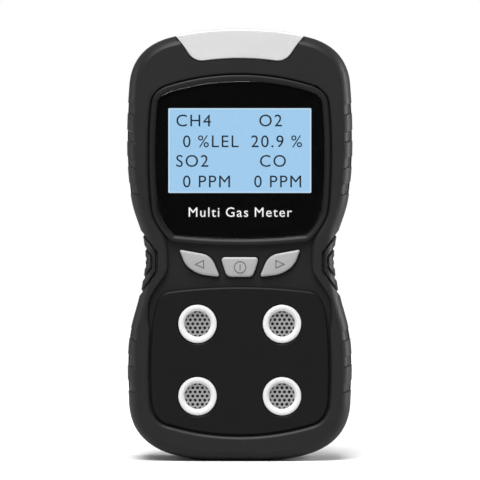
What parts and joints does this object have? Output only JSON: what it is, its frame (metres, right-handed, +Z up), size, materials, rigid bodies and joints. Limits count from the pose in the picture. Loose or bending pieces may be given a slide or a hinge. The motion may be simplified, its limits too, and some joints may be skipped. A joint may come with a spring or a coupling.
{
  "type": "portable gas detector",
  "caption": "Handheld gas detector in a rubber boot, with a display, keys, ringed gas ports, an alarm lens on top and a sprung belt clip.",
  "frame": {"origin": "centre of the flat that the body stands on, under the parting plane of the two shells", "axes": "+Z up to the alarm lens, -Y out of the display, +X to the right of someone facing the display"},
  "size_m": [0.075, 0.0448, 0.1435],
  "materials": {
    "boot_rubber": "soft matte",
    "housing_plastic": "fine texture",
    "seal_rubber": "matte",
    "bezel_plastic": "satin",
    "mask_black": "gloss",
    "clear_window": "clear",
    "lens_plastic": "translucent satin",
    "lcd_glass": "lit display",
    "white_plastic": "satin",
    "key_plastic": "satin",
    "mesh_steel": "satin",
    "clip_steel": "brushed",
    "fastener_steel": "satin",
    "motor_metal": "satin",
    "board_green": "solder mask",
    "cell_plastic": "matte",
    "battery_wrap": "satin film",
    "ribbon_film": "satin film",
    "part_black": "matte"
  },
  "bodies": {
    "detector": {"protective_boot": "boot_rubber", "front_housing": "housing_plastic", "rear_housing": "housing_plastic", "sensor_cover": "housing_plastic", "housing_seal": "seal_rubber", "keypad_mat": "seal_rubber", "sensor_seal_1": "seal_rubber", "sensor_seal_2": "seal_rubber", "sensor_seal_3": "seal_rubber", "sensor_seal_4": "seal_rubber", "display_bezel": "bezel_plastic", "window_mask": "mask_black", "display_window": "clear_window", "alarm_lens": "lens_plastic", "alarm_led_1": "lens_plastic", "alarm_led_2": "lens_plastic", "alarm_led_3": "lens_plastic", "lcd_panel": "lcd_glass", "lcd_backlight": "white_plastic", "sensor_ring_1": "white_plastic", "sensor_ring_2": "white_plastic", "sensor_ring_3": "white_plastic", "sensor_ring_4": "white_plastic", "sensor_mesh_1": "mesh_steel", "sensor_mesh_2": "mesh_steel", "sensor_mesh_3": "mesh_steel", "sensor_mesh_4": "mesh_steel", "clip_plate": "clip_steel", "clip_pin": "clip_steel", "clip_spring": "clip_steel", "case_screw_1": "fastener_steel", "case_screw_2": "fastener_steel", "case_screw_3": "fastener_steel", "case_screw_4": "fastener_steel", "clip_screw_1": "fastener_steel", "clip_screw_2": "fastener_steel", "flap_pin": "fastener_steel", "charge_socket": "fastener_steel", "vibration_motor": "motor_metal", "main_board": "board_green", "sensor_board": "board_green", "sensor_cell_1": "cell_plastic", "sensor_cell_2": "cell_plastic", "sensor_cell_3": "cell_plastic", "sensor_cell_4": "cell_plastic", "battery_pack": "battery_wrap", "board_ribbon": "ribbon_film", "lcd_holder": "part_black", "buzzer": "part_black", "switch_left": "part_black", "switch_power": "part_black", "switch_right": "part_black"},
    "left_key": {"key_left": "key_plastic"},
    "power_key": {"key_power": "key_plastic"},
    "right_key": {"key_right": "key_plastic"},
    "clip_arm": {"clip_jaw": "clip_steel"},
    "port_flap": {"charge_flap": "boot_rubber"},
    "motor_rotor": {"motor_weight": "motor_metal"}
  },
  "joints": [
    {"name": "left_key_press", "type": "slide", "parent": "detector", "child": "left_key", "axis": [0, 1, 0], "range_m": [0, 0.0008], "stiffness_N_per_m": 1200, "springref_m": -0.0008},
    {"name": "power_key_press", "type": "slide", "parent": "detector", "child": "power_key", "axis": [0, 1, 0], "range_m": [0, 0.0008], "stiffness_N_per_m": 1200, "springref_m": -0.0008},
    {"name": "right_key_press", "type": "slide", "parent": "detector", "child": "right_key", "axis": [0, 1, 0], "range_m": [0, 0.0008], "stiffness_N_per_m": 1200, "springref_m": -0.0008},
    {"name": "clip_open", "type": "hinge", "parent": "detector", "child": "clip_arm", "pos_m": [0, 0.01995, 0.1055], "axis": [1, 0, 0], "range_deg": [0, 25], "stiffness_Nm_per_rad": 0.25, "springref_deg": -28.65},
    {"name": "flap_open", "type": "hinge", "parent": "detector", "child": "port_flap", "pos_m": [0, 0.0144, 0.0285], "axis": [1, 0, 0], "range_deg": [0, 105], "stiffness_Nm_per_rad": 0.002, "springref_deg": -5.73},
    {"name": "motor_spin", "type": "hinge", "parent": "detector", "child": "motor_rotor", "pos_m": [0, 0.0078, 0.04158], "axis": [1, 0, 0], "continuous": true}
  ]
}
